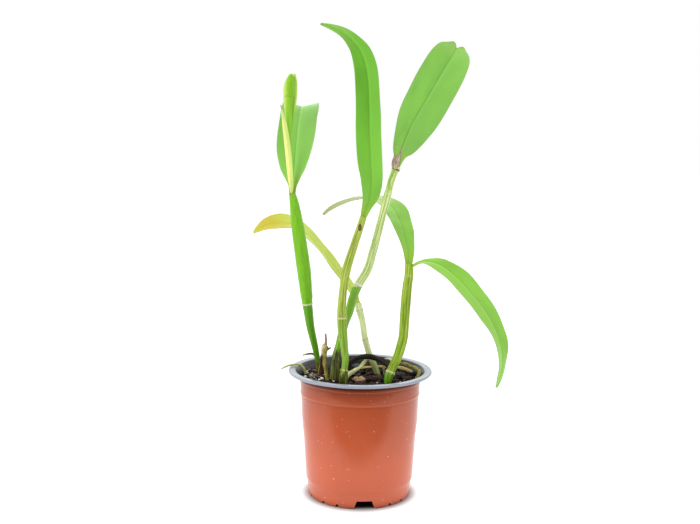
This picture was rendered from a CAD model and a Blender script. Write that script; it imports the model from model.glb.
import math
import random

import bmesh
import bpy
from bpy.props import FloatProperty, FloatVectorProperty, IntProperty, PointerProperty
from mathutils import Matrix, Vector


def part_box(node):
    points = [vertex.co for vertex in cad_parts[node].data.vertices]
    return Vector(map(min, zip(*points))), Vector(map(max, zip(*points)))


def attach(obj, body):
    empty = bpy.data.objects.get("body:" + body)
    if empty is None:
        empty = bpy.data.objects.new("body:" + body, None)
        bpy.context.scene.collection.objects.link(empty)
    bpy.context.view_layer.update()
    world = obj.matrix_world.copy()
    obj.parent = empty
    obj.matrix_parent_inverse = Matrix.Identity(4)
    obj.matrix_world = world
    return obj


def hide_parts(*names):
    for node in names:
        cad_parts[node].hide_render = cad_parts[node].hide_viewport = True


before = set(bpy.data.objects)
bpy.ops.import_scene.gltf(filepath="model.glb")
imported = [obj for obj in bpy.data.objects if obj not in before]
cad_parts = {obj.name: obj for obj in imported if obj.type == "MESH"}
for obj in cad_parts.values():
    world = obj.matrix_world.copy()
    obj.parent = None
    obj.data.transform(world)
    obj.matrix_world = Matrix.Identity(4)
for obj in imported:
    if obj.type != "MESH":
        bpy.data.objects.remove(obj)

bl_info = {
    "name": "Potted Orchid",
    "version": (1, 0, 0),
    "blender": (4, 5, 0),
    "location": "View3D > Sidebar > Orchid",
    "description": "Builds a potted orchid in bud: pot, bark mix, bulbs, leaves, sheath, buds and roots",
    "category": "Add Mesh",
}

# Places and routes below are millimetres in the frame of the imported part;
# MM turns them into metres.
MM = 0.001
BODY = "root"

# Outside, inside and underside of the pot's wall, as radius and height
POT_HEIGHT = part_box("pot")[1].z / MM
FOOT_INNER_RADIUS = 40.6
FLOOR_TOP = 8.4
FLOOR_UNDERSIDE = 7.2
OUTER_WALL = [
    (42.2, 0.0), (42.7, 0.25), (43.2, 1.4), (43.5, 8.0), (43.9, 12.7), (44.3, 13.4), (44.75, 14.2),
    (44.95, 15.0), (46.0, 32.0), (47.0, 48.0), (48.6, 64.0), (49.45, 85.2), (49.6, 86.2), (50.15, 86.8),
    (50.25, 87.3), (50.05, 87.9), (49.85, 88.8), (50.3, 96.4), (50.5, 97.3), (51.3, 97.9), (51.5, 98.4),
    (51.35, 99.1), (51.7, 102.2), (51.95, 103.0), (52.7, 103.45), (58.8, 103.55), (59.6, 103.8),
    (59.95, 104.3), (60.0, 104.8), (59.8, 105.4), (59.4, 105.8), (58.8, POT_HEIGHT),
]
INNER_WALL = [
    (55.2, POT_HEIGHT), (54.5, 105.8), (53.9, 105.2), (52.6, 103.7), (51.7, 102.6), (50.5, 100.0),
    (49.4, 96.0), (48.5, 84.0), (47.5, 64.0), (46.0, 48.0), (44.9, 32.0), (43.4, 13.5), (42.3, 9.6),
    (41.0, FLOOR_TOP),
]
PAD_RADIUS = 12.0
WIDE_NOTCHES = 3
WIDE_NOTCH_FIRST = math.radians(-84.0)
WIDE_NOTCH = (8.6, 6.2, 6.6)
SMALL_NOTCH = (2.2, 0.5, 2.6)
SMALL_NOTCH_ANGLES = (30.0, 48.0, 72.0, 90.0)
FLOOR_HOLES = 6
FLOOR_HOLE_RADIUS = 4.0
FLOOR_HOLE_CIRCLE = 27.0
POT_STEPS = 120
# Radii between which the notches are cut and the height from which they are, and the length
# and sides of the cutters of the floor's holes
NOTCH_CUT_INSIDE = FOOT_INNER_RADIUS - 4.0
NOTCH_CUT_OUTSIDE = FOOT_INNER_RADIUS + 8.0
NOTCH_CUT_BELOW = -1.0
FLOOR_HOLE_CUT = 6.0
FLOOR_HOLE_SIDES = 32
# The rim's own colour runs between these two points of the profile
RIM_FIRST = (58.8, 103.55)
RIM_LAST = (53.9, 105.2)

# Pseudobulbs, as x, y, z and radius from the base up, and their joints as
# height, swelling and how brown the joint is
BULBS = {
    "bulb_budding": dict(
        knots=[
            (-34.6, 22.4, 92.7, 3.0), (-35.4, 22.0, 101.0, 3.2), (-36.2, 21.6, 106.4, 3.1),
            (-37.0, 21.0, 110.0, 2.4), (-39.0, 19.0, 120.4, 2.8), (-41.3, 17.0, 130.8, 3.2),
            (-43.2, 15.0, 141.1, 3.6), (-45.3, 12.0, 158.8, 4.3), (-46.0, 11.0, 166.4, 5.1),
            (-48.0, 8.0, 186.4, 5.8), (-50.5, 5.0, 206.0, 5.7), (-53.2, 3.0, 225.3, 5.2),
            (-55.9, 1.0, 244.3, 3.8), (-57.6, 0.0, 252.9, 2.6)],
        joints=((158.8, 0.5, 0.0), (252.3, 0.10, 0.50)), ribs=7, depth=0.08, slot="young_bulb_skin"),
    "bulb_front": dict(
        knots=[
            (-13.4, -27.2, 92.7, 3.2), (-13.6, -28.0, 102.0, 3.6), (-13.4, -27.8, 107.2, 3.4),
            (-12.6, -27.0, 112.8, 2.6), (-12.1, -26.0, 120.3, 2.9), (-13.2, -24.0, 130.1, 3.2),
            (-14.6, -22.0, 141.4, 3.8), (-15.3, -20.0, 152.6, 3.9), (-15.4, -18.0, 163.0, 3.5),
            (-14.4, -16.0, 177.4, 3.3), (-12.0, -13.0, 191.6, 3.6), (-7.7, -11.0, 206.2, 3.3),
            (-3.0, -9.0, 220.6, 3.0), (1.2, -8.0, 234.4, 2.8)],
        joints=((110.6, 0.7, 0.0), (152.0, 0.45, 0.15)), ribs=9, depth=0.16, slot="olive_bulb_skin"),
    "bulb_middle": dict(
        knots=[
            (-21.8, -13.2, 92.7, 3.8), (-21.6, -13.0, 102.6, 4.1), (-20.5, -12.0, 115.8, 3.7),
            (-17.7, -10.0, 128.0, 3.3), (-13.8, -8.0, 144.6, 3.3), (-9.6, -6.0, 156.0, 3.4),
            (-7.0, -5.0, 166.2, 3.6), (-2.4, -3.0, 177.5, 3.4), (5.0, 0.0, 190.1, 3.4),
            (9.3, 2.0, 204.8, 3.2), (13.1, 4.0, 219.5, 3.0), (16.6, 6.0, 234.2, 3.0),
            (21.0, 8.0, 251.4, 3.2), (24.0, 9.0, 264.0, 2.8), (28.4, 10.0, 275.0, 3.3)],
        joints=((115.8, 0.4, 0.6), (177.5, 0.55, 0.0), (272.6, 0.3, 1.0)), ribs=7, depth=0.26,
        slot="pale_bulb_skin"),
    "bulb_two_leaved": dict(
        knots=[
            (22.0, -28.6, 97.0, 1.2), (22.4, -28.4, 101.4, 2.8), (23.2, -28.0, 106.8, 3.4),
            (26.4, -26.0, 113.8, 3.4), (29.7, -25.0, 120.6, 3.7), (32.5, -23.0, 129.0, 3.9),
            (34.6, -22.0, 137.8, 3.8), (35.4, -20.0, 149.1, 3.9), (36.3, -18.0, 163.6, 4.0),
            (37.4, -17.0, 178.1, 3.8), (38.6, -16.0, 186.8, 3.6), (38.8, -15.0, 196.9, 3.3)],
        joints=((109.6, 0.6, 0.0), (187.2, 0.15, 0.40)), ribs=8, depth=0.28, slot="young_bulb_skin"),
    "bulb_rear": dict(
        knots=[
            (15.6, 4.2, 92.7, 2.4), (14.6, 5.0, 100.4, 2.5), (10.9, 8.0, 109.1, 2.6),
            (7.7, 11.0, 116.4, 2.7), (4.0, 15.0, 128.1, 2.7), (1.5, 19.0, 142.6, 2.7),
            (-1.2, 21.0, 152.4, 3.0), (-2.4, 22.0, 158.0, 2.8)],
        joints=((128.1, 0.3, 0.3), (152.4, 0.5, 0.2)), ribs=7, depth=0.16, slot="pale_bulb_skin"),
}

# Leaves and sheaths. Each knot is x, y, z on the midrib, the half width, and
# the compass and height in degrees that the upper face looks to
BLADES = {
    "leaf_of_budding_bulb": dict(fold=15.5, lobe=0.0, skin="fresh", knots=[
        (-57.3, 1.3, 252.0, 2.7, -92, 5), (-57.1, 3.0, 258.5, 3.9, -100, 6),
        (-56.6, 4.4, 264.5, 7.6, -116, 9), (-56.1, 6.2, 271.5, 11.8, -116, 13),
        (-55.6, 9.0, 283.5, 15.0, -105, 15), (-55.0, 12.0, 295.8, 15.9, -94, 17),
        (-54.2, 15.6, 308.0, 15.9, -84, 23), (-53.2, 20.4, 317.6, 15.6, -82, 38),
        (-52.2, 28.0, 322.8, 15.2, -82, 62), (-51.2, 38.0, 323.4, 14.2, -88, 92),
        (-50.2, 50.0, 319.6, 12.4, -90, 110), (-49.4, 61.0, 313.4, 9.4, -90, 120),
        (-48.8, 70.0, 306.6, 5.6, -90, 125), (-48.4, 76.5, 300.8, 1.2, -90, 128),
    ]),
    "leaf_of_front_bulb": dict(fold=20.0, lobe=0.0, skin="deep", knots=[
        (0.9, -8.0, 233.4, 2.4, -80, 0), (3.3, -7.4, 243.0, 5.0, -62, -4),
        (6.2, -8.0, 252.1, 8.0, -68, -4), (7.5, -9.0, 264.3, 9.4, -88, -3),
        (6.8, -10.0, 280.4, 10.8, -102, -2), (5.6, -10.0, 300.4, 11.3, -106, 1),
        (5.0, -9.0, 320.3, 10.9, -105, 3), (4.1, -8.0, 339.3, 10.4, -104, 5),
        (2.0, -6.0, 353.6, 9.9, -98, 8), (-1.6, -4.0, 364.8, 8.7, -98, 12),
        (-7.9, -2.0, 373.8, 6.6, -92, 18), (-16.0, 0.0, 381.0, 4.6, -90, 22),
        (-25.8, 2.0, 386.0, 2.7, -94, 16), (-35.0, 3.0, 389.0, 0.9, -98, 8),
    ]),
    "leaf_of_middle_bulb": dict(fold=18.0, lobe=3.4, skin="broad", knots=[
        (28.2, 11.2, 273.6, 2.3, -60, -8), (29.6, 11.6, 282.7, 6.5, -54, -8),
        (32.2, 12.2, 291.0, 12.2, -57, -6), (40.0, 15.0, 309.7, 18.8, -64, -4),
        (50.4, 18.0, 328.1, 20.4, -69, -1), (60.6, 22.0, 345.3, 19.7, -76, 7),
        (67.9, 26.0, 357.4, 18.9, -79, 11), (72.6, 28.0, 364.8, 17.2, -80, 14),
        (75.8, 30.4, 370.0, 14.0, -80, 15), (77.6, 31.8, 373.2, 9.6, -80, 16),
    ]),
    "leaf_of_two_leaved_bulb_rear": dict(fold=8.0, lobe=0.0, skin="shaded", knots=[
        (38.6, -13.6, 195.8, 2.7, -90, 8), (38.2, -10.8, 206.0, 4.9, -70, 18),
        (36.2, -5.6, 215.4, 7.6, -55, 28), (33.6, 2.6, 224.4, 10.3, -52, 38),
        (30.1, 14.0, 233.0, 11.8, -52, 50), (25.6, 24.6, 239.6, 12.2, -54, 62),
        (16.8, 34.0, 244.8, 11.6, -60, 76), (8.2, 42.0, 247.0, 10.4, -48, 90),
        (-1.8, 49.0, 246.2, 9.0, -45, 96), (-12.0, 54.0, 243.4, 7.4, -45, 101),
        (-22.0, 58.4, 238.8, 5.6, -45, 105), (-29.2, 61.0, 234.6, 4.0, -45, 108),
        (-34.0, 62.6, 230.8, 2.2, -45, 110),
    ]),
    "leaf_of_two_leaved_bulb_side": dict(fold=8.0, lobe=0.0, skin="bright", knots=[
        (40.4, -16.2, 194.6, 1.5, -160, 40), (44.8, -18.0, 197.5, 2.3, -150, 60),
        (48.0, -19.0, 198.8, 3.2, -130, 70), (53.6, -21.0, 199.4, 5.2, -97, 70),
        (63.8, -25.0, 196.9, 8.6, -76, 56), (76.7, -30.0, 187.6, 10.6, -63, 43),
        (91.7, -35.0, 171.3, 11.6, -53, 37), (101.6, -38.0, 157.8, 11.3, -46, 30),
        (107.7, -40.6, 145.0, 10.6, -38, 21), (111.4, -42.0, 132.4, 9.4, -33, 10),
        (112.0, -42.0, 120.3, 7.4, -31, -2), (110.6, -41.0, 109.5, 4.8, -34, -10),
        (109.0, -40.0, 101.5, 1.1, -38, -14),
    ]),
    "leaf_of_rear_bulb": dict(fold=12.0, lobe=0.0, skin="yellowing", knots=[
        (-2.2, 22.0, 156.8, 1.9, -50, 30), (-6.7, 24.0, 166.6, 4.0, -50, 35),
        (-13.9, 27.0, 177.1, 6.2, -43, 38), (-24.4, 30.0, 189.6, 7.2, -34, 40),
        (-35.8, 33.0, 203.2, 7.8, -28, 44), (-48.1, 37.0, 216.2, 8.7, -34, 53),
        (-57.0, 40.0, 222.3, 9.4, -58, 60), (-65.8, 42.0, 224.2, 10.0, -90, 58),
        (-74.6, 44.0, 223.6, 10.0, -104, 54), (-83.4, 44.4, 221.4, 8.2, -112, 52),
        (-90.2, 44.0, 218.0, 4.6, -118, 52), (-94.0, 43.8, 215.4, 1.0, -120, 52),
    ]),
    "flower_sheath": dict(fold=42.0, lobe=0.0, skin="sheath", knots=[
        (-57.7, -1.7, 252.0, 1.5, 90, 0), (-58.3, -3.6, 260.0, 2.7, 90, 0),
        (-59.0, -5.2, 270.0, 3.2, 92, 0), (-59.8, -5.8, 279.6, 3.3, 92, 0),
        (-61.2, -6.4, 292.5, 3.3, 90, 0), (-63.3, -7.2, 307.0, 2.7, 84, 0),
        (-65.0, -8.2, 317.0, 1.4, 76, 0), (-66.2, -9.0, 323.6, 0.5, 72, 0),
    ]),
}
# Torn papery scraps at the top of the middle pseudobulb, on the same plan as the leaves
DRIED_SCRAPS = (
    dict(fold=30.0, lobe=0.0, knots=[
        (26.8, 6.6, 272.6, 1.6, 82, 8), (27.2, 5.0, 275.6, 2.7, 82, 8), (28.2, 4.4, 279.0, 3.0, 80, 8),
        (29.4, 4.4, 282.4, 2.2, 78, 8), (30.2, 4.6, 284.6, 0.9, 78, 8)]),
    dict(fold=20.0, lobe=0.0, knots=[
        (29.6, 5.4, 281.0, 1.0, 70, 0), (30.8, 4.4, 284.6, 0.9, 60, 0), (31.4, 3.4, 288.4, 0.8, 40, 10),
        (30.6, 2.6, 291.2, 0.7, 20, 30), (28.8, 2.6, 292.2, 0.6, 10, 60), (27.6, 3.2, 291.2, 0.5, 0, 80)]),
    dict(fold=26.0, lobe=0.0, knots=[
        (25.4, 8.2, 273.0, 1.0, 100, 6), (25.4, 6.6, 277.0, 1.4, 104, 6), (26.0, 6.0, 281.0, 1.2, 108, 4),
        (26.8, 6.0, 284.6, 0.5, 110, 2)]),
)

FRONT_BUD = [
    (-57.9, 0.0, 253.0, 0.7), (-58.5, -0.9, 262.0, 1.1), (-59.0, -1.4, 276.0, 1.3),
    (-59.9, -1.6, 292.0, 1.5), (-60.0, -1.4, 306.0, 2.1), (-60.4, -1.0, 316.0, 3.0),
    (-60.7, -1.4, 324.0, 3.7), (-60.6, -1.8, 328.6, 4.2), (-60.5, -1.9, 330.6, 4.1),
    (-60.3, -2.0, 332.6, 4.6), (-59.9, -2.1, 338.0, 4.7), (-59.2, -2.1, 343.2, 3.7),
    (-58.5, -2.1, 346.8, 2.2), (-58.0, -2.0, 348.7, 0.8),
]
REAR_BUD = [
    (-59.2, -1.2, 298.0, 0.9), (-57.9, 1.2, 312.0, 1.6), (-57.3, 2.6, 322.0, 2.4), (-57.0, 3.2, 329.0, 3.1),
    (-56.4, 3.2, 338.0, 3.0), (-55.9, 2.6, 344.6, 2.0), (-55.9, 2.0, 349.2, 0.7),
]

SPENT_SHOOT = [
    (-31.9, -4.0, 92.7, 2.2), (-32.0, -3.4, 103.0, 2.0), (-31.8, -3.0, 113.0, 1.8),
    (-31.0, -3.0, 118.6, 2.0), (-30.4, -2.6, 121.0, 2.7), (-29.6, -2.0, 125.4, 2.8),
    (-29.2, -2.0, 126.8, 1.3), (-28.8, -2.0, 130.4, 0.9), (-29.2, -2.0, 136.0, 0.7),
]
SPENT_SPUR = [(-30.2, -2.6, 121.6, 0.9), (-27.4, -3.6, 122.8, 0.9), (-24.6, -4.0, 124.6, 0.5)]

RHIZOME_LINES = {
    "run": [
        (-34.6, 24.0, 90.0, 2.4), (-33.4, 8.0, 90.0, 2.4), (-31.0, -5.0, 90.0, 2.4),
        (-21.6, -13.0, 90.0, 2.4), (-10.0, -7.0, 90.0, 2.4), (2.0, 0.0, 90.0, 2.4), (17.0, 4.4, 90.0, 2.4)],
    "branch": [(-20.6, -13.4, 90.0, 2.4), (-16.0, -20.0, 90.0, 2.4), (-13.2, -29.0, 90.0, 2.4)],
    "arch": [
        (-14.6, -9.4, 90.0, 2.3), (-13.6, -8.6, 98.0, 2.2), (-12.2, -7.4, 104.8, 2.2),
        (-10.2, -6.0, 109.6, 2.2), (-6.9, -4.4, 113.1, 2.1), (-2.0, -2.6, 115.6, 2.1),
        (5.6, -2.4, 116.9, 2.2), (13.9, -6.0, 116.2, 2.2), (20.4, -12.0, 114.2, 2.3),
        (24.8, -18.0, 112.2, 2.3), (25.6, -22.0, 112.2, 2.0)],
}

ROOTS = {
    "root_pale": ("pale", [
        (-12.0, -19.0, 94.6, 1.5), (-11.6, -19.2, 101.0, 1.6), (-9.2, -19.0, 105.8, 1.8),
        (-4.2, -14.0, 107.8, 1.7), (-0.9, -9.4, 108.8, 1.5), (2.0, -4.4, 110.8, 1.7),
        (4.6, -2.0, 113.8, 1.5), (5.4, -2.4, 115.6, 1.3)]),
    "root_long": ("tan", [
        (0.2, 27.6, 94.6, 1.0), (0.8, 27.0, 98.6, 1.0), (3.6, 24.0, 101.2, 1.0), (8.8, 20.0, 102.6, 1.0),
        (15.5, 15.0, 104.3, 1.1), (24.0, 9.0, 105.6, 1.2), (31.0, 2.4, 106.9, 1.2),
        (36.5, -1.6, 106.8, 1.35), (41.6, -2.0, 105.0, 1.35), (45.2, -0.6, 101.6, 1.25),
        (46.2, 0.2, 98.0, 1.1), (46.4, 0.4, 94.6, 1.0)]),
    "root_white": ("white", [
        (20.2, 7.4, 94.6, 0.7), (20.0, 7.0, 102.0, 0.7), (19.8, 4.2, 108.6, 0.7),
        (19.4, -1.4, 113.4, 0.6), (20.4, -6.0, 116.0, 0.7), (23.6, -13.0, 117.6, 1.1),
        (27.0, -19.4, 118.0, 1.4), (28.4, -22.6, 118.3, 1.2)]),
    "root_by_wall": ("olive", [
        (28.6, 25.0, 94.6, 1.2), (29.4, 24.2, 100.0, 1.2), (31.8, 22.2, 104.4, 1.2),
        (35.6, 19.4, 106.2, 1.2), (40.6, 15.4, 106.2, 1.5), (45.3, 9.4, 105.6, 1.6),
        (48.6, 2.0, 105.2, 1.6), (49.4, -4.0, 104.6, 1.5), (48.2, -9.0, 103.0, 1.4),
        (46.2, -12.0, 99.4, 1.3), (45.0, -12.6, 94.6, 1.2)]),
    "root_over_rim": ("fresh", [
        (-45.6, 9.0, 94.6, 1.0), (-46.6, 8.4, 100.5, 1.0), (-48.0, 8.2, 103.9, 1.0),
        (-50.6, 8.2, 106.5, 0.95), (-53.6, 7.6, 107.3, 0.9), (-57.0, 6.0, 107.4, 0.9),
        (-60.8, 2.4, 107.2, 0.8), (-64.0, -1.2, 106.5, 0.7), (-66.2, -4.0, 105.7, 0.5)]),
    "root_tip_behind": ("olive", [
        (-37.8, 21.0, 110.4, 1.0), (-40.6, 21.6, 113.2, 0.9), (-45.0, 21.0, 113.3, 0.8),
        (-49.6, 20.6, 112.4, 0.5)]),
    "root_olive_long": ("olive", [
        (-26.8, -16.0, 94.6, 1.6), (-26.8, -15.8, 99.0, 1.7), (-28.2, -12.2, 105.6, 1.7),
        (-29.3, -9.4, 112.5, 1.7), (-29.6, -7.4, 118.8, 1.6), (-28.6, -7.0, 123.4, 1.5),
        (-28.6, -4.6, 125.4, 1.3)]),
    "root_olive_short": ("olive", [
        (-34.8, 1.4, 94.6, 1.1), (-34.6, 1.2, 102.0, 1.1), (-33.4, 0.2, 107.6, 1.1),
        (-32.6, -1.2, 109.6, 1.1)]),
}

# Surface of the bark mix
MIX_LEVEL = 98.0
MIX_EDGE = 48.9
MIX_MOUNDS = (
    (-16.0, -24.0, 11.0, 2.2), (22.0, -26.0, 11.0, 2.4), (-30.0, 4.0, 12.0, 1.4), (10.0, 6.0, 10.0, 0.8))
# The solid body of the mix: gap to the wall, top of its side, depth below the chips, steps
# round it and the radii of the rings of points on its top
MIX_GAP = 0.3
MIX_SIDE_TOP = 95.6
MIX_SINK = 2.2
MIX_STEPS = 72
MIX_RINGS = range(46, 0, -2)
# Chips are dealt out round the pot's axis to the first radius and lie whole within the second,
# and none is thicker than the third value
CHIP_SPREAD = 48.0
CHIP_LIMIT = 48.2
CHIP_HIGHEST = 3.4
GOLDEN_ANGLE = math.radians(137.508)
# Fine dead roots at the left: how many, their thickness and step, and where they may lie
THREADS = 7
THREAD_RADIUS = 0.30
THREAD_STEPS = 6
THREAD_STEP = 2.6
THREAD_LIMIT = 46.5

# Loose pieces on the mix: white grains as x, y and radius, and single chips as x, y, lift,
# length, width, height, turn in degrees and two colours
LOOSE_SEED = 21
WHITE_GRAINS = (
    (-46.0, 15.0, 1.9), (-44.5, 9.0, 1.2), (-45.5, -5.0, 1.5), (-31.4, -14.5, 1.9), (-33.6, -18.5, 1.4),
    (-38.0, -9.0, 1.0), (-41.5, 2.0, 1.1), (-36.5, -17.0, 1.1), (-43.6, 21.0, 1.1), (-9.0, -22.5, 0.8),
    (14.0, -27.0, 0.8), (33.0, -19.0, 0.8), (36.5, -12.0, 0.7), (-21.5, -26.0, 0.9))
SINGLE_CHIPS = {
    "tan_chip": (-1.0, -17.5, 2.4, 10.6, 8.0, 5.2, 8.0, (0.66, 0.50, 0.33), (0.30, 0.13, 0.05)),
    "grey_chip": (-3.6, 34.0, 2.4, 9.0, 12.0, 4.0, 20.0, (0.060, 0.060, 0.075), (0.022, 0.020, 0.026)),
    "slate_chip": (33.6, 5.0, 2.0, 10.0, 9.0, 4.0, -15.0, (0.055, 0.066, 0.072), (0.018, 0.020, 0.022)),
    "brown_chip": (11.5, -14.0, 2.2, 15.0, 9.0, 5.0, 24.0, (0.090, 0.040, 0.030), (0.022, 0.009, 0.008)),
    "black_chip": (45.0, -3.6, 5.4, 4.0, 3.4, 4.4, 0.0, (0.020, 0.016, 0.014), (0.008, 0.006, 0.006)),
}

# Camera, from the pot's two ellipses in the photograph
CAMERA_PLACE = (0.0, -0.7985, 0.2948)
CAMERA_DOWN = math.radians(7.05)
CAMERA_LEFT = math.atan(0.0118)
CAMERA_ROLL = 0.0096
CAMERA_LENS = 49.99
CAMERA_SENSOR = 36.0

# Stage, in metres: the floor, how far it lies below the pot, the distances from the pot's
# axis over which its own glow comes in and its shade under the pot goes out
FLOOR_RADIUS = 9.0
FLOOR_DROP = 0.0002
GLOW_FADE = (0.0425, 0.0515)
SHADE_FADE = (0.036, 0.043)
# Dark card in front of the pot: width, depth and the place of its middle
FLAG_WIDTH = 0.52
FLAG_DEPTH = 1.0
FLAG_MIDDLE = (-0.01, -0.625, 0.0015)
# Each light: place, size and share of the key light's power
LIGHTS = {
    "key_light": ((-1.10, -0.70, 1.15), 1.0, 1.0),
    "fill_light": ((1.20, -0.50, 0.90), 1.1, 0.30),
    "back_light": ((0.10, 1.30, 1.20), 1.4, 0.60),
}
LIGHT_AIM = (0.0, 0.0, 0.2)

# Edges sharper than this are left crisp
SHARP_EDGE = math.radians(42.0)


class OrchidPotSettings(bpy.types.PropertyGroup):
    wall_colour: FloatVectorProperty(
        name="Wall colour", description="Colour of the pot's outside", subtype='COLOR', size=3,
        min=0.0, max=1.0, default=(0.55, 0.098, 0.031))
    rim_colour: FloatVectorProperty(
        name="Rim colour", description="Colour of the pot's rim", subtype='COLOR', size=3,
        min=0.0, max=1.0, default=(0.30, 0.33, 0.40))
    lining_colour: FloatVectorProperty(
        name="Lining colour", description="Colour of the pot's inside", subtype='COLOR', size=3,
        min=0.0, max=1.0, default=(0.020, 0.021, 0.025))
    roughness: FloatProperty(
        name="Roughness", description="How dull the plastic is", subtype='FACTOR',
        min=0.0, max=1.0, default=0.20)


class OrchidMixSettings(bpy.types.PropertyGroup):
    chips: IntProperty(
        name="Chips", description="Number of bark chips on the surface", min=20, max=600, default=330)
    chip_length: FloatProperty(
        name="Chip length", description="Length of the longest bark chips", unit='LENGTH', default=0.013)
    dark_bark: FloatVectorProperty(
        name="Damp bark", description="Colour of damp bark", subtype='COLOR', size=3,
        min=0.0, max=1.0, default=(0.006, 0.0035, 0.003))
    brown_bark: FloatVectorProperty(
        name="Dry bark", description="Colour of drier bark", subtype='COLOR', size=3,
        min=0.0, max=1.0, default=(0.048, 0.023, 0.017))
    seed: IntProperty(name="Seed", description="Changes how the chips lie", default=7)


class OrchidPlantSettings(bpy.types.PropertyGroup):
    blade_thickness: FloatProperty(
        name="Leaf thickness", description="Thickness of a leaf beside its midrib", unit='LENGTH',
        default=0.0013)
    midrib_groove: FloatProperty(
        name="Midrib groove", description="Depth of the groove along a leaf", unit='LENGTH', default=0.0004)
    edge_wave: FloatProperty(
        name="Edge wave", description="How far a leaf's edge waves", unit='LENGTH', default=0.0005)
    fresh_leaf: FloatVectorProperty(
        name="Young leaf", description="Colour of the leaf behind the buds", subtype='COLOR', size=3,
        min=0.0, max=1.0, default=(0.235, 0.49, 0.105))
    deep_leaf: FloatVectorProperty(
        name="Front leaf", description="Colour of the tall leaf in front", subtype='COLOR', size=3,
        min=0.0, max=1.0, default=(0.120, 0.385, 0.017))
    broad_leaf: FloatVectorProperty(
        name="Broad leaf", description="Colour of the broad leaf", subtype='COLOR', size=3,
        min=0.0, max=1.0, default=(0.195, 0.485, 0.055))
    bright_leaf: FloatVectorProperty(
        name="Side leaves", description="Colour of the two leaves on one pseudobulb", subtype='COLOR',
        size=3, min=0.0, max=1.0, default=(0.215, 0.500, 0.040))
    yellowing_leaf: FloatVectorProperty(
        name="Old leaf", description="Colour of the old leaf before it yellows", subtype='COLOR', size=3,
        min=0.0, max=1.0, default=(0.55, 0.67, 0.11))
    sheath_colour: FloatVectorProperty(
        name="Flower sheath", description="Colour of the flower sheath", subtype='COLOR', size=3,
        min=0.0, max=1.0, default=(0.72, 0.82, 0.22))
    bud_colour: FloatVectorProperty(
        name="Buds", description="Colour of the flower buds", subtype='COLOR', size=3,
        min=0.0, max=1.0, default=(0.235, 0.52, 0.004))


class OrchidStageSettings(bpy.types.PropertyGroup):
    floor_colour: FloatVectorProperty(
        name="Floor colour", description="Colour of the floor", subtype='COLOR', size=3,
        min=0.0, max=1.0, default=(0.50, 0.50, 0.50))
    floor_glow: FloatProperty(
        name="Floor glow", description="Light that the floor itself gives, as a lit table does",
        default=0.64)
    key_power: FloatProperty(
        name="Key light", description="Power of the large soft light", unit='POWER', default=11.0)
    sky_strength: FloatProperty(name="Sky", description="Strength of the white surroundings", default=1.0)


def new_finish(name, roughness=0.5):
    """A Principled material and the tree that it is drawn in."""
    finish = bpy.data.materials.new(name)
    finish.use_nodes = True
    tree = finish.node_tree
    shader = tree.nodes["Principled BSDF"]
    shader.inputs["Roughness"].default_value = roughness
    return finish, tree, shader


def attribute(tree, name, output="Vector"):
    node = tree.nodes.new("ShaderNodeAttribute")
    node.attribute_name = name
    return node.outputs[output]


def object_place(tree):
    return tree.nodes.new("ShaderNodeTexCoord").outputs["Object"]


def stretch(tree, vector, scale):
    """The vector with each of its parts scaled on its own."""
    node = tree.nodes.new("ShaderNodeMapping")
    node.inputs["Scale"].default_value = scale
    tree.links.new(vector, node.inputs["Vector"])
    return node.outputs["Vector"]


def noise(tree, vector, scale=1.0, detail=2.0, roughness=0.5):
    node = tree.nodes.new("ShaderNodeTexNoise")
    node.inputs["Scale"].default_value = scale
    node.inputs["Detail"].default_value = detail
    node.inputs["Roughness"].default_value = roughness
    tree.links.new(vector, node.inputs["Vector"])
    return node.outputs["Fac"]


def part_of(tree, vector, axis):
    """One of the vector's three parts."""
    node = tree.nodes.new("ShaderNodeSeparateXYZ")
    tree.links.new(vector, node.inputs["Vector"])
    return node.outputs[axis]


def spread(tree, value, low, high, to_low=0.0, to_high=1.0):
    """The value spread from one range to another, and held at its ends."""
    node = tree.nodes.new("ShaderNodeMapRange")
    node.interpolation_type = 'SMOOTHSTEP'
    node.inputs["From Min"].default_value = low
    node.inputs["From Max"].default_value = high
    node.inputs["To Min"].default_value = to_low
    node.inputs["To Max"].default_value = to_high
    tree.links.new(value, node.inputs["Value"])
    return node.outputs["Result"]


def spread_evenly(tree, value, low, high):
    """The value spread evenly from one range to between 0 and 1."""
    node = tree.nodes.new("ShaderNodeMapRange")
    node.inputs["From Min"].default_value = low
    node.inputs["From Max"].default_value = high
    tree.links.new(value, node.inputs["Value"])
    return node.outputs["Result"]


def reckon(tree, operation, first, second=None):
    """A sum on one or two values, each a number or a socket."""
    node = tree.nodes.new("ShaderNodeMath")
    node.operation = operation
    for socket, value in zip(node.inputs, (first, second)):
        if value is None:
            continue
        if isinstance(value, (int, float)):
            socket.default_value = value
        else:
            tree.links.new(value, socket)
    return node.outputs["Value"]


def blend_colour(tree, share, first, second):
    """Two colours, each a tuple or a socket, blended by a number or a socket."""
    node = tree.nodes.new("ShaderNodeMix")
    node.data_type = 'RGBA'
    for socket, value in ((node.inputs[0], share), (node.inputs[6], first), (node.inputs[7], second)):
        if isinstance(value, (int, float)):
            socket.default_value = value
        elif isinstance(value, (tuple, list)):
            socket.default_value = (*value[:3], 1.0)
        else:
            tree.links.new(value, socket)
    return node.outputs[2]


def tint(colour, factor):
    return tuple(min(1.0, part * factor) for part in colour[:3])


def relief(tree, shader, height, distance, strength=1.0):
    """Fine bumps of the surface, which leave the mesh as it is."""
    node = tree.nodes.new("ShaderNodeBump")
    node.inputs["Distance"].default_value = distance
    node.inputs["Strength"].default_value = strength
    tree.links.new(height, node.inputs["Height"])
    tree.links.new(node.outputs["Normal"], shader.inputs["Normal"])


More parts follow.
